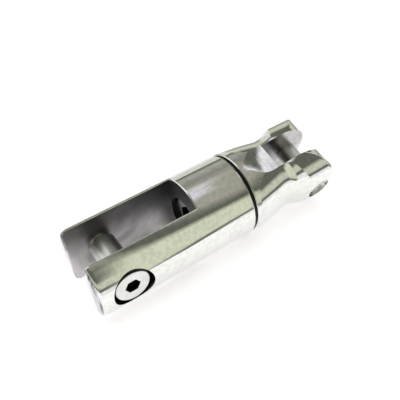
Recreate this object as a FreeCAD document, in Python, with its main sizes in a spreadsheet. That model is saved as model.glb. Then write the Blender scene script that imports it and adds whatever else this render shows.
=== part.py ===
import FreeCAD, Part
import math
import os
import Sketcher

# Anchor swivel in stainless steel: a slotted round jaw takes the anchor's shank, a forked head
# takes the chain, and the two turn on one bolt along their common axis.
#
# Millimetres. +X runs along the swivel axis from the anchor to the chain, Y is the anchor pin's
# axis and +Z looks out of the jaw's slot. The origin is the anchor pin's centre. The fork and all
# that turns with it stand rolled about X, so the chain pin isn't parallel to the anchor pin.

SIZES = {
    # jaw
    "body_dia": 32,
    "jaw_length": 62,
    "jaw_end_round": 2,
    "jaw_slot_width": 17.5,
    "jaw_slot_depth": 41.75,
    "rim_round": 0.5,
    "slot_rim_round": 0.5,
    # anchor pin: a shoulder screw whose head sits in a recess of one cheek
    "anchor_pin_inset": 12.25,
    "anchor_pin_dia": 10,
    "anchor_shoulder_reach": 7.6,
    "anchor_thread_dia": 8,
    "anchor_thread_reach": 15.2,
    "anchor_thread_rings": 5,
    "anchor_head_dia": 13.4,
    "anchor_head_thick": 3.2,
    "anchor_head_reach": 14.5,
    "anchor_recess_dia": 15,
    "anchor_key_flats": 5,
    "anchor_key_deep": 2.4,
    # chain fork
    "fork_length": 39.2,
    "fork_roll": 16.5,
    "collar_width": 2,
    "side_shoulder_place": -10,
    "side_shoulder_round": 120,
    "side_hollow_round": 14,
    "crown_place": 30.6,
    "crown_round": 20,
    "side_axis_start": 0.5,
    "side_axis_slope": 0.2,
    "fork_slot_width": 10.6,
    "fork_slot_start": 14.2,
    "flank_shoulder_place": -1,
    "flank_shoulder_round": 40,
    "flank_hollow_round": 40,
    "lug_centre_place": 24,
    "lug_edge_round": 1.5,
    # chain pin: a screw whose head sits in a recess of one lug
    "chain_pin_place": 30.9,
    "chain_pin_dia": 8,
    "chain_shank_reach": 6.5,
    "chain_thread_reach": 13.9,
    "chain_thread_rings": 5,
    "chain_head_dia": 11,
    "chain_head_thick": 3,
    "chain_head_reach": 14.2,
    "chain_recess_dia": 11.6,
    "chain_key_flats": 4,
    "chain_key_deep": 2.2,
    "chain_end_recess_dia": 9.4,
    "chain_end_recess_floor": 14,
    # swivel bolt and the pieces round it
    "bolt_dia": 10,
    "bolt_reach": 9.5,
    "bolt_thread_rings": 5,
    "bolt_head_dia": 16,
    "bolt_head_thick": 8,
    "bolt_recess_dia": 17,
    "bolt_recess_deep": 11,
    "bolt_key_flats": 8,
    "bolt_key_deep": 5,
    "bush_dia": 14,
    "head_washer_dia": 16,
    "head_washer_thick": 1.2,
    "lock_screw_start": 9.9,
    "lock_screw_length": 4,
    "lock_screw_rings": 2,
    "lock_key_flats": 5,
    "lock_key_deep": 2.2,
    # seam between jaw and fork
    "seam_gap": 1.2,
    "seam_washer_dia": 31.2,
    "seam_washer_bore": 24,
    "seal_dia": 20,
    "seal_section_dia": 2,
    "seal_groove_width": 2.3,
    "seal_groove_deep": 0.9,
    # shared
    "end_chamfer": 0.6,
    "thread_pitch": 1.25,
    "thread_deep": 0.5,
    "running_gap": 0.05,
}

doc = FreeCAD.newDocument("anchor_swivel")


def size(name):
    return float(SIZES[name])


def make_sheet():
    """The driving dimensions: a name in column A and its number, with that alias, in column B."""
    sheet = doc.addObject("Spreadsheet::Sheet", "Params")
    for row, (name, number) in enumerate(SIZES.items(), start=1):
        sheet.set(f"A{row}", name)
        sheet.set(f"B{row}", str(number))
        sheet.setAlias(f"B{row}", name)
    doc.recompute()


# ---- sketches ----

ORIGIN = (-1, 1)
ALONG = (-1,)
CLEAR = 1


def origin_part(body, role):
    return next(part for part in body.Origin.OriginFeatures if part.Role == role)


def new_body(label):
    body = doc.addObject("PartDesign::Body", label)
    body.Label = label
    return body


def new_sketch(body, name, plane, lift=None):
    """A sketch on one of the body's own planes, lifted along the plane's normal by a formula."""
    sketch = body.newObject("Sketcher::SketchObject", name)
    sketch.AttachmentSupport = (origin_part(body, plane), [""])
    sketch.MapMode = "FlatFace"
    if lift:
        sketch.setExpression("AttachmentOffset.Base.z", lift)
    return sketch


def drawn_size(sketch, kind, places):
    """What a dimension measures on the geometry as it was drawn, before it is constrained."""
    if kind == "Radius":
        return sketch.Geometry[places[0]].Radius
    if kind == "Diameter":
        return 2 * sketch.Geometry[places[0]].Radius
    step = sketch.getPoint(*places[2:]) - sketch.getPoint(*places[:2])
    return step.x if kind == "DistanceX" else step.y


def bind(sketch, kind, places, formula):
    """Adds a dimension whose value is a formula of the sheet's numbers."""
    drawn = drawn_size(sketch, kind, places)
    number = sketch.addConstraint(Sketcher.Constraint(kind, *places, drawn))
    sketch.setExpression(f"Constraints[{number}]", formula)


def fix(sketch, kind, *places):
    sketch.addConstraint(Sketcher.Constraint(kind, *places))


def add_chain(sketch, points):
    """Lines through the points, joined end to end and closed."""
    count = len(points)
    for i in range(count):
        here = FreeCAD.Vector(*points[i], 0)
        there = FreeCAD.Vector(*points[(i + 1) % count], 0)
        sketch.addGeometry(Part.LineSegment(here, there))
    for i in range(count):
        fix(sketch, "Coincident", i, 2, (i + 1) % count, 1)


def add_lines(sketch, points, construction=False):
    """Lines from each point to the next, left open and not yet joined."""
    for here, there in zip(points, points[1:]):
        line = Part.LineSegment(FreeCAD.Vector(*here, 0), FreeCAD.Vector(*there, 0))
        sketch.addGeometry(line, construction)


def slot_outline(sketch, start, end, width):
    """A rectangle along the sketch's X axis, from start to end, with its width centred on it."""
    add_chain(sketch, [(-1, -1), (1, -1), (1, 1), (-1, 1)])
    for line in (0, 2):
        fix(sketch, "Horizontal", line)
    fix(sketch, "Vertical", 3)
    bind(sketch, "DistanceX", (*ORIGIN, 0, 1), start)
    bind(sketch, "DistanceX", (*ORIGIN, 1, 1), end)
    fix(sketch, "Symmetric", 1, 1, 1, 2, *ALONG)
    bind(sketch, "DistanceY", (1, 1, 1, 2), width)


def circle(sketch, diameter, along=None):
    """A circle centred on the sketch's X axis, at the origin or at a distance along it."""
    number = sketch.addGeometry(Part.Circle(FreeCAD.Vector(1, 0, 0), FreeCAD.Vector(0, 0, 1), 1))
    if along:
        fix(sketch, "PointOnObject", number, 3, *ALONG)
        bind(sketch, "DistanceX", (*ORIGIN, number, 3), along)
    else:
        fix(sketch, "Coincident", number, 3, *ORIGIN)
    bind(sketch, "Diameter", (number,), diameter)


def hexagon(sketch, flats):
    """A regular hexagon about the origin, by its width across flats."""
    corners = [(math.cos(math.radians(60 * i)), math.sin(math.radians(60 * i))) for i in range(6)]
    add_chain(sketch, corners)
    sketch.addGeometry(Part.Circle(FreeCAD.Vector(0, 0, 0), FreeCAD.Vector(0, 0, 1), 1), True)
    fix(sketch, "Coincident", 6, 3, *ORIGIN)
    for line in range(6):
        fix(sketch, "PointOnObject", line, 1, 6)
    for line in range(1, 6):
        fix(sketch, "Equal", 0, line)
    fix(sketch, "PointOnObject", 0, 1, *ALONG)
    bind(sketch, "Diameter", (6,), f"{flats} / cos(30 deg)")


def stepped(sketch, start, steps):
    """Half a turned outline above the sketch's X axis: (length, diameter) steps from its start."""
    points = [(0, 0)]
    for i in range(len(steps)):
        points.append((i, i + 1))
        points.append((i + 1, i + 1))
    points.append((len(steps), 0))
    add_chain(sketch, points)
    last = len(points) - 1
    for i, (length, diameter) in enumerate(steps):
        rise = 2 * i
        run = rise + 1
        fix(sketch, "Vertical", rise)
        fix(sketch, "Horizontal", run)
        bind(sketch, "DistanceX", (run, 1, run, 2), length)
        bind(sketch, "DistanceY", (*ORIGIN, run, 1), f"({diameter}) / 2")
    fix(sketch, "Vertical", last - 1)
    fix(sketch, "PointOnObject", last, 1, *ALONG)
    fix(sketch, "PointOnObject", 0, 1, *ALONG)
    bind(sketch, "DistanceX", (*ORIGIN, 0, 1), start)


# ---- features ----

TURNING = {"X_Axis": "XZ_Plane", "Y_Axis": "YZ_Plane"}


def revolve(body, sketch, axis, kind="Revolution"):
    feature = body.newObject(f"PartDesign::{kind}", f"{sketch.Name}_{kind.lower()}")
    feature.Profile = sketch
    feature.ReferenceAxis = axis
    feature.Angle = 360
    return feature


def turn(body, axis, start, steps):
    sketch = new_sketch(body, "turned_outline", TURNING[axis])
    stepped(sketch, start, steps)
    revolve(body, sketch, (origin_part(body, axis), [""]))


def cut_through(body, sketch):
    """Cuts the sketch's shape out of everything, both ways from its plane."""
    pocket = body.newObject("PartDesign::Pocket", f"{sketch.Name}_cut")
    pocket.Profile = sketch
    pocket.Type = "ThroughAll"
    pocket.Midplane = True
    return pocket


def cut_deep(body, sketch, depth=None, outwards=False):
    """Cuts against the plane's normal, or along it if outwards; all the way if no depth is given."""
    pocket = body.newObject("PartDesign::Pocket", f"{sketch.Name}_cut")
    pocket.Profile = sketch
    pocket.Reversed = outwards
    if depth:
        pocket.setExpression("Length", depth)
    else:
        pocket.Type = "ThroughAll"
    return pocket


def edges_where(feature, test):
    """The names of the feature's edges whose two ends and middle all pass the test."""
    names = []
    for number, edge in enumerate(feature.Shape.Edges, start=1):
        middle = edge.valueAt((edge.FirstParameter + edge.LastParameter) / 2)
        if all(test(point) for point in [middle] + [vertex.Point for vertex in edge.Vertexes]):
            names.append(f"Edge{number}")
    return names


def dress(body, kind, formula, test):
    """Rounds (Fillet) or bevels (Chamfer) the edges that pass the test."""
    doc.recompute()
    base = body.Tip
    feature = body.newObject(f"PartDesign::{kind}", kind.lower())
    feature.Base = (base, edges_where(base, test))
    feature.setExpression("Radius" if kind == "Fillet" else "Size", formula)
    return feature


def near(a, b):
    return abs(a - b) < 1e-4


def bevel_rim(body, axis, place, diameter):
    """Bevels the round edge of this diameter that stands at this place on the axis."""
    number = {"X_Axis": 0, "Y_Axis": 1}[axis]

    def on_rim(point):
        off_axis = math.hypot(point[1 - number], point.z)
        return near(point[number], place) and near(off_axis, diameter / 2)

    dress(body, "Chamfer", "Params.end_chamfer", on_rim)


def thread_rings(body, axis, diameter, first, count):
    """V grooves at the thread's pitch, standing in for its helix."""
    sketch = new_sketch(body, "thread_groove", TURNING[axis])
    add_chain(sketch, [(-0.4, 4), (0, 3), (0.4, 4)])
    fix(sketch, "Horizontal", 2)
    fix(sketch, "Equal", 0, 1)
    bind(sketch, "DistanceX", (*ORIGIN, 0, 2), first)
    bind(sketch, "DistanceY", (*ORIGIN, 0, 1), f"{diameter} / 2 + Params.running_gap")
    bind(sketch, "DistanceY", (0, 2, 0, 1), "Params.thread_deep")
    bind(sketch, "DistanceX", (0, 1, 1, 2), "Params.thread_pitch * 0.8")
    groove = revolve(body, sketch, (origin_part(body, axis), [""]), "Groove")
    rings = body.newObject("PartDesign::LinearPattern", "thread_rings")
    rings.Originals = [groove]
    rings.Direction = (origin_part(body, axis), [""])
    rings.setExpression("Occurrences", count)
    rings.setExpression("Length", f"Params.thread_pitch * ({count} - 1)")
    body.Tip = rings


def socket(body, plane, face, flats, depth, outwards=False):
    """A hexagon socket sunk into the end face that stands at this place along the plane's normal."""
    sketch = new_sketch(body, "socket", plane, face)
    hexagon(sketch, flats)
    cut_deep(body, sketch, depth, outwards)


def round_hole(body, name, plane, diameter, along=None, lift=None, depth=None, outwards=False):
    sketch = new_sketch(body, name, plane, lift)
    circle(sketch, diameter, along)
    cut_deep(body, sketch, depth, outwards)


# ---- jaw ----

JAW_END = "Params.jaw_length - Params.anchor_pin_inset"
SLOT_WALL = "Params.jaw_slot_depth - Params.anchor_pin_inset"


def make_anchor_jaw():
    body = new_body("anchor_jaw")
    turn(body, "X_Axis", "-Params.anchor_pin_inset", [("Params.jaw_length", "Params.body_dia")])
    open_end = -size("anchor_pin_inset")
    seam_end = size("jaw_length") + open_end
    dress(body, "Fillet", "Params.jaw_end_round", lambda point: near(point.x, open_end))
    dress(body, "Fillet", "Params.rim_round", lambda point: near(point.x, seam_end))

    slot = new_sketch(body, "slot", "XY_Plane")
    slot_outline(slot, f"-Params.anchor_pin_inset - {CLEAR}", SLOT_WALL, "Params.jaw_slot_width")
    cut_through(body, slot)
    radius = size("body_dia") / 2
    dress(body, "Fillet", "Params.slot_rim_round",
          lambda point: near(math.hypot(point.y, point.z), radius) and point.x < seam_end - radius)

    shank_hole = "Params.anchor_pin_dia + 2 * Params.running_gap"
    thread_hole = "Params.anchor_thread_dia + 2 * Params.running_gap"
    recess_floor = "Params.anchor_head_reach - Params.anchor_head_thick - Params.running_gap"
    round_hole(body, "shank_hole", "XZ_Plane", shank_hole, outwards=True)
    round_hole(body, "thread_hole", "XZ_Plane", thread_hole)
    round_hole(body, "pin_recess", "XZ_Plane", "Params.anchor_recess_dia", lift=recess_floor, outwards=True)

    round_hole(body, "bolt_recess", "YZ_Plane", "Params.bolt_recess_dia", lift=SLOT_WALL,
               depth="Params.bolt_recess_deep", outwards=True)
    round_hole(body, "bush_bore", "YZ_Plane", "Params.bush_dia", lift=SLOT_WALL, outwards=True)

    groove = new_sketch(body, "seal_groove", "YZ_Plane", JAW_END)
    circle(groove, "Params.seal_dia - Params.seal_groove_width")
    circle(groove, "Params.seal_dia + Params.seal_groove_width")
    cut_deep(body, groove, "Params.seal_groove_deep")


def make_swivel_bush():
    body = new_body("swivel_bush")
    wall = "Params.jaw_length - Params.jaw_slot_depth - Params.bolt_recess_deep"
    start = f"{SLOT_WALL} + Params.bolt_recess_deep"
    turn(body, "X_Axis", start, [(wall, "Params.bush_dia - 0.8 * Params.running_gap")])
    round_hole(body, "bush_hole", "YZ_Plane", "Params.bolt_dia + 2 * Params.running_gap", outwards=True)


def make_seam_washer():
    body = new_body("seam_washer")
    turn(body, "X_Axis", f"{JAW_END} + Params.running_gap",
         [("Params.seam_gap - 2 * Params.running_gap", "Params.seam_washer_dia")])
    round_hole(body, "washer_hole", "YZ_Plane", "Params.seam_washer_bore", outwards=True)


def make_grease_seal():
    ring = doc.addObject("Part::Torus", "grease_seal")
    ring.Label = "grease_seal"
    ring.Placement = FreeCAD.Placement(FreeCAD.Vector(), FreeCAD.Rotation(FreeCAD.Vector(0, 1, 0), 90))
    ring.setExpression("Radius1", "Params.seal_dia / 2")
    ring.setExpression("Radius2", "Params.seal_section_dia / 2")
    middle = "(Params.seam_gap - Params.seal_groove_deep) / 2"
    ring.setExpression("Placement.Base.x", f"{JAW_END} + {middle}")


def make_anchor_pin():
    body = new_body("anchor_pin")
    head_under = "Params.anchor_head_reach - Params.anchor_head_thick"
    turn(body, "Y_Axis", "-Params.anchor_head_reach", [
        ("Params.anchor_head_thick", "Params.anchor_head_dia"),
        (f"{head_under} + Params.anchor_shoulder_reach", "Params.anchor_pin_dia"),
        ("Params.anchor_thread_reach - Params.anchor_shoulder_reach", "Params.anchor_thread_dia"),
    ])
    bevel_rim(body, "Y_Axis", -size("anchor_head_reach"), size("anchor_head_dia"))
    bevel_rim(body, "Y_Axis", size("anchor_shoulder_reach"), size("anchor_pin_dia"))
    bevel_rim(body, "Y_Axis", size("anchor_thread_reach"), size("anchor_thread_dia"))
    thread_rings(body, "Y_Axis", "Params.anchor_thread_dia",
                 "Params.anchor_shoulder_reach + Params.thread_pitch", "Params.anchor_thread_rings")
    socket(body, "XZ_Plane", "Params.anchor_head_reach", "Params.anchor_key_flats", "Params.anchor_key_deep")


# ---- fork, and what turns with it, built about the middle of the fork's seam face ----

def turn_with_fork(body):
    body.Placement = FreeCAD.Placement(FreeCAD.Vector(), FreeCAD.Rotation(FreeCAD.Vector(1, 0, 0), 1))
    body.setExpression("Placement.Base.x", f"{JAW_END} + Params.seam_gap")
    body.setExpression("Placement.Rotation.Angle", "Params.fork_roll")


def outward_arc(sketch, centre, radius, first, last):
    """An arc drawn anticlockwise about its centre, from the first angle to the last."""
    whole = Part.Circle(centre, FreeCAD.Vector(0, 0, 1), radius)
    sketch.addGeometry(Part.ArcOfCircle(whole, first, last))


def waisted_outline(sketch, name, lug_centre, lug_radius):
    """What is cut off the bar: it leaves the collar gently, dips to a waist and swells over the lug.

    Three arcs run tangent into each other: the shoulder, the hollow and the lug's own round.
    """
    bar = size("body_dia") / 2
    collar = size("collar_width")
    shoulder_radius = size(f"{name}_shoulder_round")
    hollow_radius = size(f"{name}_hollow_round")
    shoulder_place = size(f"{name}_shoulder_place")
    corner = FreeCAD.Vector(collar, bar, 0)
    drop = math.sqrt(shoulder_radius ** 2 - (collar - shoulder_place) ** 2)
    shoulder_centre = FreeCAD.Vector(shoulder_place, bar - drop, 0)
    # the hollow's centre is its own radius beyond each of the other two arcs
    from_shoulder = shoulder_radius + hollow_radius
    from_lug = lug_radius + hollow_radius
    between = lug_centre - shoulder_centre
    reach = (between.Length ** 2 + from_shoulder ** 2 - from_lug ** 2) / (2 * between.Length)
    rise = math.sqrt(from_shoulder ** 2 - reach ** 2)
    towards_lug = between / between.Length
    upwards = FreeCAD.Vector(-towards_lug.y, towards_lug.x, 0)
    hollow_centre = shoulder_centre + towards_lug * reach + upwards * rise
    lug_foot = lug_centre.x + math.sqrt(lug_radius ** 2 - lug_centre.y ** 2)

    def angle(start, end):
        return math.atan2(end.y - start.y, end.x - start.x)

    outward_arc(sketch, shoulder_centre, shoulder_radius,
                angle(shoulder_centre, hollow_centre), angle(shoulder_centre, corner))
    outward_arc(sketch, hollow_centre, hollow_radius,
                angle(hollow_centre, shoulder_centre), angle(hollow_centre, lug_centre))
    outward_arc(sketch, lug_centre, lug_radius,
                math.asin(-lug_centre.y / lug_radius), angle(lug_centre, hollow_centre))
    add_lines(sketch, [(lug_foot, 0), (lug_foot + CLEAR, 0), (lug_foot + CLEAR, bar + CLEAR),
                       (collar, bar + CLEAR), (collar, bar)])

    shoulder, hollow, lug, foot, far_side, top, near_side = range(7)
    fix(sketch, "Coincident", near_side, 2, shoulder, 2)
    fix(sketch, "Tangent", shoulder, 1, hollow, 1)
    fix(sketch, "Tangent", hollow, 2, lug, 2)
    fix(sketch, "Coincident", lug, 1, foot, 1)
    fix(sketch, "Coincident", foot, 2, far_side, 1)
    fix(sketch, "Coincident", far_side, 2, top, 1)
    fix(sketch, "Coincident", top, 2, near_side, 1)
    fix(sketch, "PointOnObject", lug, 1, *ALONG)
    for line in (foot, top):
        fix(sketch, "Horizontal", line)
    for line in (far_side, near_side):
        fix(sketch, "Vertical", line)
    bind(sketch, "DistanceX", (*ORIGIN, shoulder, 2), "Params.collar_width")
    bind(sketch, "DistanceY", (*ORIGIN, shoulder, 2), "Params.body_dia / 2")
    bind(sketch, "DistanceX", (*ORIGIN, shoulder, 3), f"Params.{name}_shoulder_place")
    bind(sketch, "Radius", (shoulder,), f"Params.{name}_shoulder_round")
    bind(sketch, "Radius", (hollow,), f"Params.{name}_hollow_round")
    bind(sketch, "DistanceX", (foot, 1, foot, 2), f"{CLEAR}")
    bind(sketch, "DistanceY", (near_side, 2, near_side, 1), f"{CLEAR}")
    return lug


def side_outline(sketch):
    """Turned off one side, about an axis that leans to the other, so the waist is deeper than wide."""
    crown_round = size("crown_round")
    centre = FreeCAD.Vector(size("crown_place"), size("body_dia") / 2 - crown_round, 0)
    lug = waisted_outline(sketch, "side", centre, crown_round)
    bind(sketch, "DistanceX", (*ORIGIN, lug, 3), "Params.crown_place")
    bind(sketch, "DistanceY", (*ORIGIN, lug, 3), "Params.body_dia / 2 - Params.crown_round")
    bind(sketch, "Radius", (lug,), "Params.crown_round")

    axis = sketch.GeometryCount
    start = size("side_axis_start")
    end = size("fork_length")
    add_lines(sketch, [(start, 0), (end, (start - end) * size("side_axis_slope"))], construction=True)
    fix(sketch, "PointOnObject", axis, 1, *ALONG)
    bind(sketch, "DistanceX", (*ORIGIN, axis, 1), "Params.side_axis_start")
    bind(sketch, "DistanceX", (*ORIGIN, axis, 2), "Params.fork_length")
    bind(sketch, "DistanceY", (*ORIGIN, axis, 2),
         "(Params.side_axis_start - Params.fork_length) * Params.side_axis_slope")


def flank_outline(sketch):
    """Milled off the top, running on round the lugs to the fork's end."""
    place = size("lug_centre_place")
    lug = waisted_outline(sketch, "flank", FreeCAD.Vector(place, 0, 0), size("fork_length") - place)
    fix(sketch, "PointOnObject", lug, 3, *ALONG)
    bind(sketch, "DistanceX", (*ORIGIN, lug, 3), "Params.lug_centre_place")
    bind(sketch, "Radius", (lug,), "Params.fork_length - Params.lug_centre_place")


def mirror(body, cut, name, plane):
    both = body.newObject("PartDesign::Mirrored", name)
    both.Originals = [cut]
    both.MirrorPlane = (origin_part(body, plane), [""])
    body.Tip = both


def make_chain_fork():
    body = new_body("chain_fork")
    turn(body, "X_Axis", "0", [("Params.fork_length", "Params.body_dia")])
    dress(body, "Fillet", "Params.rim_round", lambda point: near(point.x, 0))

    side = new_sketch(body, "side", "XY_Plane")
    side_outline(side)
    waist = revolve(body, side, (side, ["Axis0"]), "Groove")
    mirror(body, waist, "both_sides", "XZ_Plane")

    flank = new_sketch(body, "flank", "XZ_Plane")
    flank_outline(flank)
    mirror(body, cut_through(body, flank), "both_flanks", "XY_Plane")

    lug_radius = size("fork_length") - size("lug_centre_place")

    def on_lug_end(point):
        return near(math.hypot(point.x - size("lug_centre_place"), point.z), lug_radius)

    dress(body, "Fillet", "Params.lug_edge_round", on_lug_end)

    slot = new_sketch(body, "slot", "XY_Plane")
    slot_outline(slot, "Params.fork_slot_start", f"Params.fork_length + {CLEAR}", "Params.fork_slot_width")
    cut_through(body, slot)

    pin_hole = new_sketch(body, "pin_hole", "XZ_Plane")
    circle(pin_hole, "Params.chain_pin_dia + 2 * Params.running_gap", "Params.chain_pin_place")
    cut_through(body, pin_hole)
    recess_floor = "Params.chain_head_reach - Params.chain_head_thick - Params.running_gap"
    round_hole(body, "head_recess", "XZ_Plane", "Params.chain_recess_dia", along="Params.chain_pin_place",
               lift=f"-({recess_floor})")
    round_hole(body, "end_recess", "XZ_Plane", "Params.chain_end_recess_dia",
               along="Params.chain_pin_place", lift="Params.chain_end_recess_floor", outwards=True)
    round_hole(body, "bolt_hole", "YZ_Plane", "Params.bolt_dia + 2 * Params.running_gap", outwards=True)
    turn_with_fork(body)


def make_chain_pin():
    body = new_body("chain_pin")
    head_under = "Params.chain_head_reach - Params.chain_head_thick"
    turn(body, "Y_Axis", "-Params.chain_thread_reach", [
        (f"Params.chain_thread_reach + {head_under}", "Params.chain_pin_dia"),
        ("Params.chain_head_thick", "Params.chain_head_dia"),
    ])
    bevel_rim(body, "Y_Axis", -size("chain_thread_reach"), size("chain_pin_dia"))
    bevel_rim(body, "Y_Axis", size("chain_head_reach"), size("chain_head_dia"))
    rings = "Params.chain_thread_rings"
    thread_rings(body, "Y_Axis", "Params.chain_pin_dia",
                 f"-Params.chain_shank_reach - Params.thread_pitch * {rings}", rings)
    socket(body, "XZ_Plane", "-Params.chain_head_reach", "Params.chain_key_flats", "Params.chain_key_deep",
           outwards=True)
    turn_with_fork(body)
    body.setExpression("Placement.Base.x", f"{JAW_END} + Params.seam_gap + Params.chain_pin_place")


WALL_FACE = "-Params.seam_gap - (Params.jaw_length - Params.jaw_slot_depth - Params.bolt_recess_deep)"


def make_head_washer():
    body = new_body("head_washer")
    turn(body, "X_Axis", f"{WALL_FACE} - Params.running_gap - Params.head_washer_thick",
         [("Params.head_washer_thick", "Params.head_washer_dia")])
    hole = new_sketch(body, "washer_hole", "YZ_Plane")
    circle(hole, "Params.bolt_dia + 4 * Params.running_gap")
    cut_through(body, hole)
    turn_with_fork(body)


def make_swivel_bolt():
    body = new_body("swivel_bolt")
    head_under = f"{WALL_FACE} - 2 * Params.running_gap - Params.head_washer_thick"
    turn(body, "X_Axis", f"{head_under} - Params.bolt_head_thick", [
        ("Params.bolt_head_thick", "Params.bolt_head_dia"),
        (f"Params.bolt_reach - ({head_under})", "Params.bolt_dia"),
    ])
    doc.recompute()
    bevel_rim(body, "X_Axis", body.Shape.BoundBox.XMin, size("bolt_head_dia"))
    bevel_rim(body, "X_Axis", size("bolt_reach"), size("bolt_dia"))
    rings = "Params.bolt_thread_rings"
    thread_rings(body, "X_Axis", "Params.bolt_dia",
                 f"Params.bolt_reach - Params.thread_pitch * {rings}", rings)
    socket(body, "YZ_Plane", f"{head_under} - Params.bolt_head_thick", "Params.bolt_key_flats",
           "Params.bolt_key_deep", outwards=True)
    turn_with_fork(body)


def make_bolt_lock_screw():
    body = new_body("bolt_lock_screw")
    turn(body, "X_Axis", "Params.lock_screw_start", [("Params.lock_screw_length", "Params.bolt_dia")])
    for end in (size("lock_screw_start"), size("lock_screw_start") + size("lock_screw_length")):
        bevel_rim(body, "X_Axis", end, size("bolt_dia"))
    thread_rings(body, "X_Axis", "Params.bolt_dia", "Params.lock_screw_start + Params.thread_pitch",
                 "Params.lock_screw_rings")
    socket(body, "YZ_Plane", "Params.lock_screw_start + Params.lock_screw_length",
           "Params.lock_key_flats", "Params.lock_key_deep")
    turn_with_fork(body)


def write_parts():
    """Checks every object of the document, then writes each piece to a file named by its label."""
    doc.recompute()
    for item in doc.Objects:
        if "Invalid" in item.State or "Error" in item.State:
            raise RuntimeError(f"{item.Label}: {item.State}")
    pieces = [item for item in doc.Objects if item.TypeId in ("PartDesign::Body", "Part::Torus")]
    for piece in pieces:
        if piece.Shape.isNull() or not piece.Shape.isValid():
            raise RuntimeError(f"{piece.Label}: bad shape")
    os.makedirs("parts", exist_ok=True)
    for piece in pieces:
        piece.Shape.exportStep(f"parts/{piece.Label}.step")
        box = piece.Shape.BoundBox
        print(f"{piece.Label}: {piece.Shape.Volume:.1f} mm3, {len(piece.Shape.Solids)} solid,",
              f"x {box.XMin:.2f} to {box.XMax:.2f}")


make_sheet()
make_anchor_jaw()
make_swivel_bush()
make_seam_washer()
make_grease_seal()
make_anchor_pin()
make_chain_fork()
make_chain_pin()
make_head_washer()
make_swivel_bolt()
make_bolt_lock_screw()
write_parts()
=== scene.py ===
import math

import bpy
from mathutils import Euler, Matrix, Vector


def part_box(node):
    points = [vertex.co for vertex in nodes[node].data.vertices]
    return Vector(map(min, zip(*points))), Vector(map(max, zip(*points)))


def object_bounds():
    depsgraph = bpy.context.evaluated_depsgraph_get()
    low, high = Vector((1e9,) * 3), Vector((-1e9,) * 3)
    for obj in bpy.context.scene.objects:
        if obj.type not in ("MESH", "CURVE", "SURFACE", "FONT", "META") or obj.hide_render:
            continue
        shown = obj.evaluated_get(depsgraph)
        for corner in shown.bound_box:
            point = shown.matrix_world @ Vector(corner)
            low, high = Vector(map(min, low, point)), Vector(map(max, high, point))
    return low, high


# Anchor swivel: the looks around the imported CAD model. Metres, in the row frame: +X runs along the
# swivel axis towards the chain, +Z looks out of the jaw's slot, and the object lies on the floor.

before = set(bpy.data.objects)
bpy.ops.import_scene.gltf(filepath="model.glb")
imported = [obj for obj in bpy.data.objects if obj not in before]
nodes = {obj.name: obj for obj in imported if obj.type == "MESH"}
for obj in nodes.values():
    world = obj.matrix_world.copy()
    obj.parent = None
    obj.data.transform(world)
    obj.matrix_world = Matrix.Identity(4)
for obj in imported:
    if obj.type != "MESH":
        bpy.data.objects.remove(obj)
cad_low, cad_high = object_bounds()

ORIGIN = (0, 0, 0)
ALONG_X = (1, 0, 0)
BACK_X = (-1, 0, 0)
ALONG_Y = (0, 1, 0)
BACK_Y = (0, -1, 0)
ALONG_Z = (0, 0, 1)

MM = 0.001
BODY_RADIUS = (cad_high.z - cad_low.z) / 2
MIDDLE = (cad_low + cad_high) / 2

JAW_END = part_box("anchor_jaw")[0].x
JAW_SLOT_HALF = 8.75 * MM
JAW_SLOT_END = 29.5 * MM
ANCHOR_RECESS = 7.5 * MM
ANCHOR_RECESS_LIP = 14.3 * MM
FAR_CHEEK_LIP = 15.0 * MM
BOLT_RECESS = 8.5 * MM
BOLT_RECESS_LIP = 45 * MM
CUT_STRIP = 0.6 * MM
ANCHOR_HEAD_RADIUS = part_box("anchor_pin")[1].x
ANCHOR_HEAD_FACE = -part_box("anchor_pin")[0].y
BOLT_HEAD_FACE = -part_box("swivel_bolt")[0].x
LOCK_SCREW_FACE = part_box("bolt_lock_screw")[1].x
FORK_ROLL = math.radians(16.5)
FORK_SIDE = (0, math.cos(FORK_ROLL), math.sin(FORK_ROLL))
FORK_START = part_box("chain_fork")[0].x
FORK_SLOT_HALF = 5.3 * MM
FORK_SLOT_START = FORK_START + 14.2 * MM
CHAIN_PIN = (FORK_START + 30.9 * MM, 0, 0)
CHAIN_HEAD_RECESS = 5.8 * MM
CHAIN_RECESS_LIP = 14.0 * MM
CHAIN_HEAD_FACE = 14.2 * MM
# How far past a face a mask still takes it in, and how far behind a flat face a socket's mask stops.
SKIN = 0.03 * MM
MOUTH_GAP = 0.05 * MM


# ---- camera ----

LENS = 46
VIEW_AZIMUTH = math.radians(-31.7)
VIEW_ELEVATION = math.radians(45.2)
VIEW_ROLL = math.radians(-4.16)
VIEW_DISTANCE = 191.3 * MM
AIM = MIDDLE + Vector((0.5 * MM, 4.5 * MM, 0))


def make_camera():
    back = Vector((math.sin(VIEW_AZIMUTH) * math.cos(VIEW_ELEVATION),
                   -math.cos(VIEW_AZIMUTH) * math.cos(VIEW_ELEVATION),
                   math.sin(VIEW_ELEVATION)))
    data = bpy.data.cameras.new("camera")
    data.lens = LENS
    data.sensor_width = 36
    data.clip_start = 10 * MM
    camera = bpy.data.objects.new("camera", data)
    bpy.context.scene.collection.objects.link(camera)
    camera.location = AIM + back * VIEW_DISTANCE
    upright = (-back).to_track_quat("-Z", "Y")
    camera.rotation_mode = "QUATERNION"
    camera.rotation_quaternion = upright @ Euler((0, 0, VIEW_ROLL)).to_quaternion()
    bpy.context.scene.camera = camera


# ---- node helpers ----

def add(tree, kind, settings=None, inputs=None, output=0):
    """A new node with its settings, each input set to a value or joined to another node's socket."""
    made = tree.nodes.new("ShaderNode" + kind)
    for name, value in (settings or {}).items():
        setattr(made, name, value)
    for name, value in (inputs or {}).items():
        if isinstance(value, bpy.types.NodeSocket):
            tree.links.new(value, made.inputs[name])
        else:
            made.inputs[name].default_value = value
    return made.outputs[output]


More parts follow.
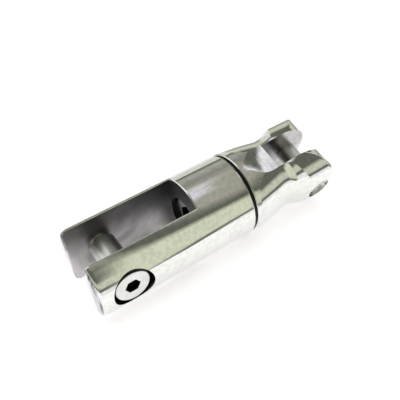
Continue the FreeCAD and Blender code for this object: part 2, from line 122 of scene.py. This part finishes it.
def ramp(tree, factor, stops):
    """A colour ramp from (position, colour) stops."""
    socket = add(tree, "ValToRGB", inputs={"Fac": factor})
    elements = socket.node.color_ramp.elements
    while len(elements) < len(stops):
        elements.new(0.5)
    for element, (position, colour) in zip(elements, stops):
        element.position = position
        element.color = (*colour, 1)
    return socket


def maths(tree, operation, first, second=0.0):
    return add(tree, "Math", {"operation": operation}, {0: first, 1: second})


def smooth(tree, value, start, end):
    """Eases from 0 at the start to 1 at the end, which may be the lower of the two."""
    return add(tree, "MapRange", {"interpolation_type": "SMOOTHSTEP"}, {
        "Value": value, "From Min": start, "From Max": end})


def spread(tree, value, low, high):
    """Takes a 0 to 1 value to the range from low to high."""
    return add(tree, "MapRange", inputs={"Value": value, "To Min": low, "To Max": high})


# ---- studio ----

PAPER_MARGIN = 50 * MM
FLOOR_SIDE = 6.0
WHITE = (1.0, 1.0, 1.0)
# What the steel sees round it beyond the paper: a simple room whose walls are level bands, each
# (from elevation, to elevation, colour) in degrees from the horizon, fading into the next.
PAPER = (1.00, 1.00, 1.01)
RAIL = (0.16, 0.17, 0.14)
GREY_RAIL = (0.30, 0.30, 0.27)
PALE_GREEN = (0.74, 0.78, 0.60)
CREAM = (0.66, 0.67, 0.55)
PALE_GREY = (0.77, 0.78, 0.71)
HALF_SHADE = (0.45, 0.45, 0.39)
SHELVES = (0.14, 0.15, 0.12)
CEILING = (0.43, 0.42, 0.35)
NEAR_WALL = [
    (-90, -24, PAPER),
    (-21, -18, RAIL),
    (-12, 24, PALE_GREEN),
    (36, 44, SHELVES),
    (64, 90, CEILING),
]
FAR_WALL = [
    (-90, -20, PAPER),
    (-2, 11, PALE_GREY),
    (15, 17, RAIL),
    (24, 30, HALF_SHADE),
    (42, 46, GREY_RAIL),
    (58, 90, CEILING),
]
# The walls at both ends of the room, on the near and the far side.
NEAR_END_WALL = [
    (-90, -13, PAPER),
    (-10, -6, RAIL),
    (-2, 9, CREAM),
    (17, 44, SHELVES),
    (58, 90, CEILING),
]
FAR_END_WALL = [
    (-90, -48, PAPER),
    (-42, -37, GREY_RAIL),
    (-32, -18, PALE_GREY),
    (-12, -10, GREY_RAIL),
    (0, 10, CREAM),
    (18, 56, SHELVES),
    (68, 90, CEILING),
]
# Lamps, as directions from the object:
# (x from, x to, y from, y to, softness in x, softness in y, colour)
LAMPS = [
    (0.29, 0.40, -0.12, 0.32, 0.06, 0.24, (0.90, 0.88, 0.97)),
    (0.48, 0.95, -0.10, 0.17, 0.04, 0.025, (1.05, 1.04, 1.10)),
]
# The window lies to the left and behind: where its edges fade, along X and along Y.
WINDOW = (1.15, 1.16, 1.14)
WINDOW_X = (0.05, -0.15)
WINDOW_Y = (0.2, 0.4)
# Where the near walls give way to the far ones, along Y.
FAR_SIDE = (-0.25, 0.35)
# How much the bands' edges waver.
WOBBLE = 0.03
# The directions along X in which the middle walls show, and how softly they end.
MIDDLE_WALLS = (0.17, 0.48, 0.09)
# The near wall runs away to the right: its bands close in on this elevation as the direction's X grows.
VANISHING = math.radians(5)
NEAREST_X = 0.30
CLOSING = 3.0


def wall(tree, share, bands):
    """A wall's colour where share goes from 0 straight down to 1 straight up."""
    stops = []
    for low, high, colour in bands:
        stops += [((low + 90) / 180, colour), ((high + 90) / 180, colour)]
    return ramp(tree, share, stops)


def between(tree, value, low, high, soft):
    """1 where the value lies from low to high, fading to 0 over the soft width at both ends."""
    up = smooth(tree, value, low - soft / 2, low + soft / 2)
    down = smooth(tree, value, high + soft / 2, high - soft / 2)
    return maths(tree, "MULTIPLY", up, down)


def height_share(tree, elevation):
    """0 for an elevation straight down and 1 for straight up."""
    return add(tree, "MapRange", inputs={
        "Value": elevation, "From Min": -math.pi / 2, "From Max": math.pi / 2})


def mix_colour(tree, share, first, second):
    return add(tree, "Mix", {"data_type": "RGBA"}, {0: share, 6: first, 7: second}, output=2)


def room_walls(tree, elevation, x, y):
    """The walls' colour: near and far ones, each with a middle and two ends."""
    share = height_share(tree, elevation)
    past_nearest = maths(tree, "SUBTRACT", x, NEAREST_X)
    closing = maths(tree, "ADD", 1.0, maths(tree, "MULTIPLY", past_nearest, CLOSING))
    above_line = maths(tree, "MULTIPLY", maths(tree, "SUBTRACT", elevation, VANISHING), closing)
    near_share = height_share(tree, maths(tree, "ADD", above_line, VANISHING))
    middle = between(tree, x, *MIDDLE_WALLS)
    near = mix_colour(tree, middle, wall(tree, share, NEAR_END_WALL), wall(tree, near_share, NEAR_WALL))
    far = mix_colour(tree, middle, wall(tree, share, FAR_END_WALL), wall(tree, share, FAR_WALL))
    return mix_colour(tree, smooth(tree, y, *FAR_SIDE), near, far)


def make_room():
    world = bpy.data.worlds.new("room")
    world.use_nodes = True
    tree = world.node_tree
    tree.nodes.clear()
    direction = add(tree, "TexCoord")
    parts = add(tree, "SeparateXYZ", inputs={0: direction}).node.outputs
    ripple = add(tree, "TexNoise", inputs={"Vector": direction, "Scale": 3.0, "Detail": 3.0})
    wobble = spread(tree, ripple, -WOBBLE, WOBBLE)
    x = maths(tree, "ADD", parts[0], wobble)
    elevation = maths(tree, "ARCSINE", maths(tree, "ADD", parts[2], wobble))
    surround = room_walls(tree, elevation, x, parts[1])

    above = maths(tree, "GREATER_THAN", parts[2], 0.0)
    left = smooth(tree, parts[0], *WINDOW_X)
    behind = smooth(tree, parts[1], *WINDOW_Y)
    behind_left = maths(tree, "MULTIPLY", left, behind)
    through_window = maths(tree, "MULTIPLY", above, behind_left)
    surround = mix_colour(tree, through_window, surround, (*WINDOW, 1))
    cloud = add(tree, "TexNoise", inputs={"Vector": direction, "Scale": 16.0, "Detail": 3.0})
    cloud = add(tree, "MapRange", inputs={
        "Value": cloud, "From Min": 0.3, "From Max": 0.6, "To Min": 0.55, "To Max": 1.0})
    for x_from, x_to, y_from, y_to, x_soft, y_soft, colour in LAMPS:
        x_share = between(tree, x, x_from, x_to, x_soft)
        y_share = between(tree, maths(tree, "ADD", parts[1], wobble), y_from, y_to, y_soft)
        lit = maths(tree, "MULTIPLY", above, maths(tree, "MULTIPLY", x_share, y_share))
        lit = maths(tree, "MULTIPLY", lit, cloud)
        surround = mix_colour(tree, lit, surround, (*colour, 1))

    room = add(tree, "Background", inputs={"Color": surround, "Strength": 1.0})
    backdrop = add(tree, "Background", inputs={"Color": (*WHITE, 1), "Strength": 1.0})
    to_camera = add(tree, "LightPath")
    surface = add(tree, "MixShader", inputs={0: to_camera, 1: room, 2: backdrop})
    output = tree.nodes.new("ShaderNodeOutputWorld")
    tree.links.new(surface, output.inputs["Surface"])
    bpy.context.scene.world = world


def paper_material():
    material = bpy.data.materials.new("paper")
    material.use_nodes = True
    shader = material.node_tree.nodes["Principled BSDF"]
    shader.inputs["Base Color"].default_value = (0.92, 0.92, 0.92, 1)
    shader.inputs["Roughness"].default_value = 0.8
    shader.inputs["Specular IOR Level"].default_value = 0.1
    shader.inputs["Emission Color"].default_value = (0.98, 0.96, 1.0, 1)
    shader.inputs["Emission Strength"].default_value = 0.46
    return material


def make_floor():
    """The paper under the object, which the steel reflects, and a floor round it, which it doesn't."""
    inner_x = (cad_high.x - cad_low.x) / 2 + PAPER_MARGIN
    inner_y = BODY_RADIUS + PAPER_MARGIN
    inner = [(-inner_x, -inner_y, 0), (inner_x, -inner_y, 0), (inner_x, inner_y, 0), (-inner_x, inner_y, 0)]
    far = FLOOR_SIDE / 2
    outer = [(-far, -far, 0), (far, -far, 0), (far, far, 0), (-far, far, 0)]
    ring = [(i, (i + 1) % 4, 4 + (i + 1) % 4, 4 + i) for i in range(4)]
    material = paper_material()
    for name, points, faces, reflected in (
            ("paper", inner, [(0, 1, 2, 3)], True),
            ("floor", outer + inner, ring, False)):
        mesh = bpy.data.meshes.new(name)
        mesh.from_pydata(points, [], faces)
        mesh.materials.append(material)
        sheet = bpy.data.objects.new(name, mesh)
        bpy.context.scene.collection.objects.link(sheet)
        sheet.location = (MIDDLE.x, MIDDLE.y, cad_low.z)
        sheet.visible_glossy = reflected


def make_light(name, place, side, watts):
    """A square softbox, this far from the object's middle, that reflections leave out."""
    data = bpy.data.lights.new(name, "AREA")
    data.shape = "SQUARE"
    data.size = side
    data.energy = watts
    light = bpy.data.objects.new(name, data)
    bpy.context.scene.collection.objects.link(light)
    light.location = MIDDLE + Vector(place)
    light.rotation_mode = "QUATERNION"
    light.rotation_quaternion = (-Vector(place)).to_track_quat("-Z", "Y")
    light.visible_glossy = False


def make_studio():
    make_room()
    make_floor()
    make_light("overhead_softbox", (0.1, 0.05, 0.7), 0.8, 2.4)
    make_light("front_softbox", (-0.4, -0.6, 0.5), 0.5, 1)
    bpy.context.scene.view_settings.view_transform = "Standard"


# ---- materials ----

def new_material(name, colour, metallic, roughness):
    """A Principled material. Returns it, its node tree and its shader node."""
    material = bpy.data.materials.new(name)
    material.use_nodes = True
    tree = material.node_tree
    shader = tree.nodes["Principled BSDF"]
    shader.inputs["Base Color"].default_value = (*colour, 1)
    shader.inputs["Metallic"].default_value = metallic
    shader.inputs["Roughness"].default_value = roughness
    return material, tree, shader


def object_place(tree):
    return add(tree, "TexCoord", output=3)


def noise(tree, place, per_metre, detail=3.0, distortion=0.0):
    return add(tree, "TexNoise", inputs={
        "Vector": place, "Scale": per_metre, "Detail": detail, "Distortion": distortion})


def bump(tree, height, depth, onto=None):
    """A bump of this depth in metres, laid onto another bump if one is given."""
    inputs = {"Height": height, "Distance": depth, "Strength": 1.0}
    if onto:
        inputs["Normal"] = onto
    return add(tree, "Bump", inputs=inputs)


def hairlines(tree, place, stretch):
    """Fine scratches: noise drawn out along one axis."""
    drawn_out = add(tree, "Mapping", inputs={"Vector": place, "Scale": stretch})
    return noise(tree, drawn_out, 1.0, detail=2.0)


def along(tree, place, axis):
    return add(tree, "VectorMath", {"operation": "DOT_PRODUCT"}, {0: place, 1: axis}, output=1)


def inside_slot(tree, place, sideways, half, edge, opens_up_x):
    """1 on the faces of a slot that runs along X, and 0 elsewhere."""
    off_middle = maths(tree, "ABSOLUTE", along(tree, place, sideways))
    within = maths(tree, "LESS_THAN", off_middle, half + SKIN)
    x = along(tree, place, ALONG_X)
    if opens_up_x:
        return maths(tree, "MULTIPLY", within, maths(tree, "GREATER_THAN", x, edge - SKIN))
    return maths(tree, "MULTIPLY", within, maths(tree, "LESS_THAN", x, edge + SKIN))


def off_line(tree, from_centre, axis):
    """How far a place lies from the line along this axis."""
    across = add(tree, "VectorMath", {"operation": "CROSS_PRODUCT"}, {0: from_centre, 1: axis})
    return add(tree, "VectorMath", {"operation": "LENGTH"}, {0: across}, output=1)


def inside_bore(tree, place, centre, outwards, radius, floor, lip):
    """1 within this radius of a line, from the bore's floor out to its lip, and 0 elsewhere."""
    from_centre = add(tree, "VectorMath", {"operation": "SUBTRACT"}, {0: place, 1: centre})
    within = maths(tree, "LESS_THAN", off_line(tree, from_centre, outwards), radius + SKIN)
    reach = along(tree, from_centre, outwards)
    deep = maths(tree, "MULTIPLY", maths(tree, "GREATER_THAN", reach, floor - SKIN),
                 maths(tree, "LESS_THAN", reach, lip))
    return maths(tree, "MULTIPLY", within, deep)


STEEL = (0.80, 0.80, 0.785)
MILLED = (0.62, 0.595, 0.60)
MILLED_STAIN = (0.30, 0.29, 0.295)
SHADED_CUT_STEEL = (0.60, 0.58, 0.62)
CUT_LINE = (0.16, 0.16, 0.165)
# Near black painted into bores, sockets and the anchor pin's head rim as their shade.
SHADE_BLACK = (0.05, 0.05, 0.05)


def slot_steel(tree, place, painted_shades):
    """Milled steel's stained colour, darkened by painted shade towards the given places.

    Each painted shade is an axis, the place along it that is darkest, the place from which the steel is
    full bright, and the grey it has at its darkest.
    """
    stains = noise(tree, place, 60, detail=6.0, distortion=0.5)
    stains_and_shade = ramp(tree, stains, [(0.38, MILLED_STAIN), (0.60, MILLED)])
    # Painted shade: the stains are mixed towards a dark grey near each darkest place, standing in for shade
    # and dark reflections in the slot.
    for axis, darkest, brightest, grey in painted_shades:
        unshaded = smooth(tree, along(tree, place, axis), darkest, brightest)
        dark = mix_colour(tree, 0.25, (grey, grey, grey, 1), stains_and_shade)
        stains_and_shade = mix_colour(tree, unshaded, dark, stains_and_shade)
    return stains_and_shade


# The saw-cut end: real saw streaks on a grey darkened as painted shade, for the end face's dim reflection.
def sawn_steel_with_painted_shade(tree, place):
    lines = hairlines(tree, place, (300, 1500, 120))
    return ramp(tree, lines, [(0.46, CUT_LINE), (0.60, SHADED_CUT_STEEL)])


def inside_bores(tree, place, bores):
    """1 inside any of the bores, each given as inside_bore's values."""
    bored = 0.0
    for bore in bores:
        bored = maths(tree, "MAXIMUM", inside_bore(tree, place, *bore), bored)
    return bored


def polished_steel(name, ripple, slot, slot_matt, painted_shades, bores, cut_end=None):
    """Mirror polish outside, with ripples, hairlines and smudges, a milled slot and bores painted black as
    shade.

    The ripple is the depth of the waves that the polishing wheel left. The slot is given as inside_slot's
    values, its steel's painted shades as slot_steel's and the bores as inside_bore's. The steel below x =
    cut_end is painted a darker grey with dark saw streaks, the grey standing in for the end face's dim
    reflection.
    """
    material, tree, shader = new_material(name, STEEL, 1.0, 0.06)
    place = object_place(tree)
    milled = inside_slot(tree, place, *slot)
    outside_slot = maths(tree, "SUBTRACT", 1.0, milled)
    bored = maths(tree, "MULTIPLY", inside_bores(tree, place, bores), outside_slot)

    polish = spread(tree, noise(tree, place, 110, detail=6.0, distortion=0.6), 0.01, 0.06)
    matt = spread(tree, noise(tree, place, 900, detail=4.0), *slot_matt)
    roughness = add(tree, "Mix", inputs={0: milled, 2: polish, 3: matt})
    roughness = add(tree, "Mix", inputs={0: bored, 2: roughness, 3: 0.5})
    tree.links.new(roughness, shader.inputs["Roughness"])

    speckle = noise(tree, place, 650, detail=4.0)
    bright = tuple(c * 1.04 for c in STEEL)
    dull = tuple(c * 0.90 for c in STEEL)
    polished = ramp(tree, speckle, [(0.35, dull), (0.62, bright)])
    colour = mix_colour(tree, milled, polished, slot_steel(tree, place, painted_shades))
    # Partly painted shade: below cut_end the mirror steel is painted darker grey, with dark saw streaks.
    if cut_end is not None:
        cut = maths(tree, "LESS_THAN", along(tree, place, ALONG_X), cut_end)
        colour = mix_colour(tree, cut, colour, sawn_steel_with_painted_shade(tree, place))
    # Painted shade: the bores' steel is painted near black.
    colour = mix_colour(tree, bored, colour, (*SHADE_BLACK, 1))
    tree.links.new(colour, shader.inputs["Base Color"])

    wave = bump(tree, noise(tree, place, 60, detail=2.0), ripple)
    pitted = bump(tree, speckle, 0.001 * MM, onto=wave)
    scratched = bump(tree, hairlines(tree, place, (90, 2200, 2200)), 0.0025 * MM, onto=pitted)
    tree.links.new(scratched, shader.inputs["Normal"])
    return material


def turned_steel(name, axis, socket=None, colour=(0.84, 0.84, 0.83), matt=(0.14, 0.24), shaded_rim=None):
    """Lathe-turned steel: fine rings across the piece's own axis, and a socket painted black as shade.

    The head's rim is painted black, as the shade in the gap round the head in its recess. The argument
    gives the way the head faces, and the radius and the reach that way beyond which the rim lies.
    """
    material, tree, shader = new_material(name, colour, 1.0, 0.3)
    place = object_place(tree)
    rings = add(tree, "TexNoise", {"noise_dimensions": "1D"}, {
        "W": along(tree, place, axis), "Scale": 5000.0, "Detail": 3.0})
    tree.links.new(spread(tree, rings, *matt), shader.inputs["Roughness"])
    tree.links.new(bump(tree, rings, 0.003 * MM), shader.inputs["Normal"])
    wear_and_shade = ramp(tree, noise(tree, place, 260), [(0.3, tuple(c * 0.86 for c in colour)), (0.7, colour)])
    # Painted shade: the hex socket is painted near black.
    if socket:
        wear_and_shade = mix_colour(tree, inside_bore(tree, place, *socket), wear_and_shade, (*SHADE_BLACK, 1))
    # Painted shade: black round the head's rim.
    if shaded_rim:
        outwards, radius, reach = shaded_rim
        outside = maths(tree, "GREATER_THAN", off_line(tree, place, outwards), radius)
        beyond = maths(tree, "GREATER_THAN", along(tree, place, outwards), reach)
        wear_and_shade = mix_colour(tree, maths(tree, "MULTIPLY", outside, beyond), wear_and_shade, (*SHADE_BLACK, 1))
    tree.links.new(wear_and_shade, shader.inputs["Base Color"])
    return material


def moulded(name, colour, roughness):
    """Black polymer or rubber, with a fine grain."""
    material, tree, shader = new_material(name, colour, 0.0, roughness)
    shader.inputs["Specular IOR Level"].default_value = 0.2
    place = object_place(tree)
    grain = noise(tree, place, 1800, detail=3.0)
    tree.links.new(bump(tree, grain, 0.01 * MM), shader.inputs["Normal"])
    patches = noise(tree, place, 240)
    light = tuple(c * 1.6 for c in colour)
    tree.links.new(ramp(tree, patches, [(0.35, colour), (0.7, light)]), shader.inputs["Base Color"])
    tree.links.new(spread(tree, grain, roughness - 0.1, roughness + 0.1), shader.inputs["Roughness"])
    return material


def hex_socket(centre, outwards, flats, face, depth):
    """A hexagon socket as inside_bore's values: the bore that just holds its corners.

    The face that it opens in is measured from the centre, the way that it faces.
    """
    return centre, outwards, flats / math.sqrt(3), face - depth, face - MOUTH_GAP


def dress(node, material):
    nodes[node].data.materials.clear()
    nodes[node].data.materials.append(material)


def dress_jaw():
    # Bores whose steel is painted black as shade: the anchor pin's head recess, the far cheek's bore and
    # the bolt's recess.
    jaw_bores = [
        (ORIGIN, BACK_Y, ANCHOR_RECESS, JAW_SLOT_HALF, ANCHOR_RECESS_LIP),
        (ORIGIN, ALONG_Y, ANCHOR_RECESS, JAW_SLOT_HALF, FAR_CHEEK_LIP),
        (ORIGIN, ALONG_X, BOLT_RECESS, JAW_SLOT_END, BOLT_RECESS_LIP),
    ]
    jaw_slot = (ALONG_Y, JAW_SLOT_HALF, JAW_SLOT_END, False)
    # Painted shade on the jaw's slot: darker towards the slot's end wall, and darker towards the cheeks'
    # top, where the far cheek reflects the shaded near cheek.
    jaw_painted_shades = [
        (ALONG_X, JAW_SLOT_END, JAW_SLOT_END - 8 * MM, 0.22),
        (ALONG_Z, 9 * MM, -3 * MM, 0.09),
    ]
    dress("anchor_jaw", polished_steel(
        "jaw_steel", 0.03 * MM, jaw_slot, (0.34, 0.50), jaw_painted_shades, jaw_bores, JAW_END + CUT_STRIP))


def dress_fork():
    # The chain pin's head recess is painted black as shade.
    fork_bores = [(CHAIN_PIN, FORK_SIDE, CHAIN_HEAD_RECESS, FORK_SLOT_HALF, CHAIN_RECESS_LIP)]
    fork_slot = (FORK_SIDE, FORK_SLOT_HALF, FORK_SLOT_START, True)
    # Painted shade on the fork's slot: near black at its root, full bright from 11 mm along, which also
    # lightens what the chain pin reflects.
    fork_painted_shades = [(ALONG_X, FORK_SLOT_START + 5 * MM, FORK_SLOT_START + 11 * MM, 0.05)]
    dress("chain_fork", polished_steel(
        "fork_steel", 0.09 * MM, fork_slot, (0.18, 0.30), fork_painted_shades, fork_bores))


def dress_hardware():
    anchor_key = hex_socket(ORIGIN, BACK_Y, 5 * MM, ANCHOR_HEAD_FACE, 2.6 * MM)
    # The anchor pin's head rim, painted black as the shade in the gap round the head.
    anchor_shaded_rim = (BACK_Y, ANCHOR_HEAD_RADIUS - 0.5 * MM, ANCHOR_HEAD_FACE - 1.5 * MM)
    dress("anchor_pin", turned_steel(
        "anchor_pin_steel", ALONG_Y, anchor_key, (0.78, 0.78, 0.77), (0.28, 0.40), anchor_shaded_rim))
    chain_key = hex_socket(CHAIN_PIN, FORK_SIDE, 4 * MM, CHAIN_HEAD_FACE, 2.2 * MM)
    # Painted light: the chain pin's steel is lighter (0.94) than the other pins', to brighten the highlight
    # it reflects.
    dress("chain_pin", turned_steel(
        "chain_pin_steel", FORK_SIDE, chain_key, (0.94, 0.94, 0.93), (0.34, 0.46)))
    bolt_key = hex_socket(ORIGIN, BACK_X, 8 * MM, BOLT_HEAD_FACE, 5 * MM)
    dress("swivel_bolt", turned_steel("bolt_steel", ALONG_X, bolt_key))
    lock_key = hex_socket(ORIGIN, ALONG_X, 5 * MM, LOCK_SCREW_FACE, 2.25 * MM)
    dress("bolt_lock_screw", turned_steel("lock_screw_steel", ALONG_X, lock_key))
    dress("swivel_bush", turned_steel("bush_bronze", ALONG_X, None, (0.62, 0.44, 0.22), (0.3, 0.45)))
    polymer = moulded("black_polymer", (0.004, 0.004, 0.004), 0.5)
    dress("seam_washer", polymer)
    dress("head_washer", polymer)
    dress("grease_seal", moulded("black_rubber", (0.01, 0.01, 0.01), 0.6))


make_camera()
make_studio()
dress_jaw()
dress_fork()
dress_hardware()
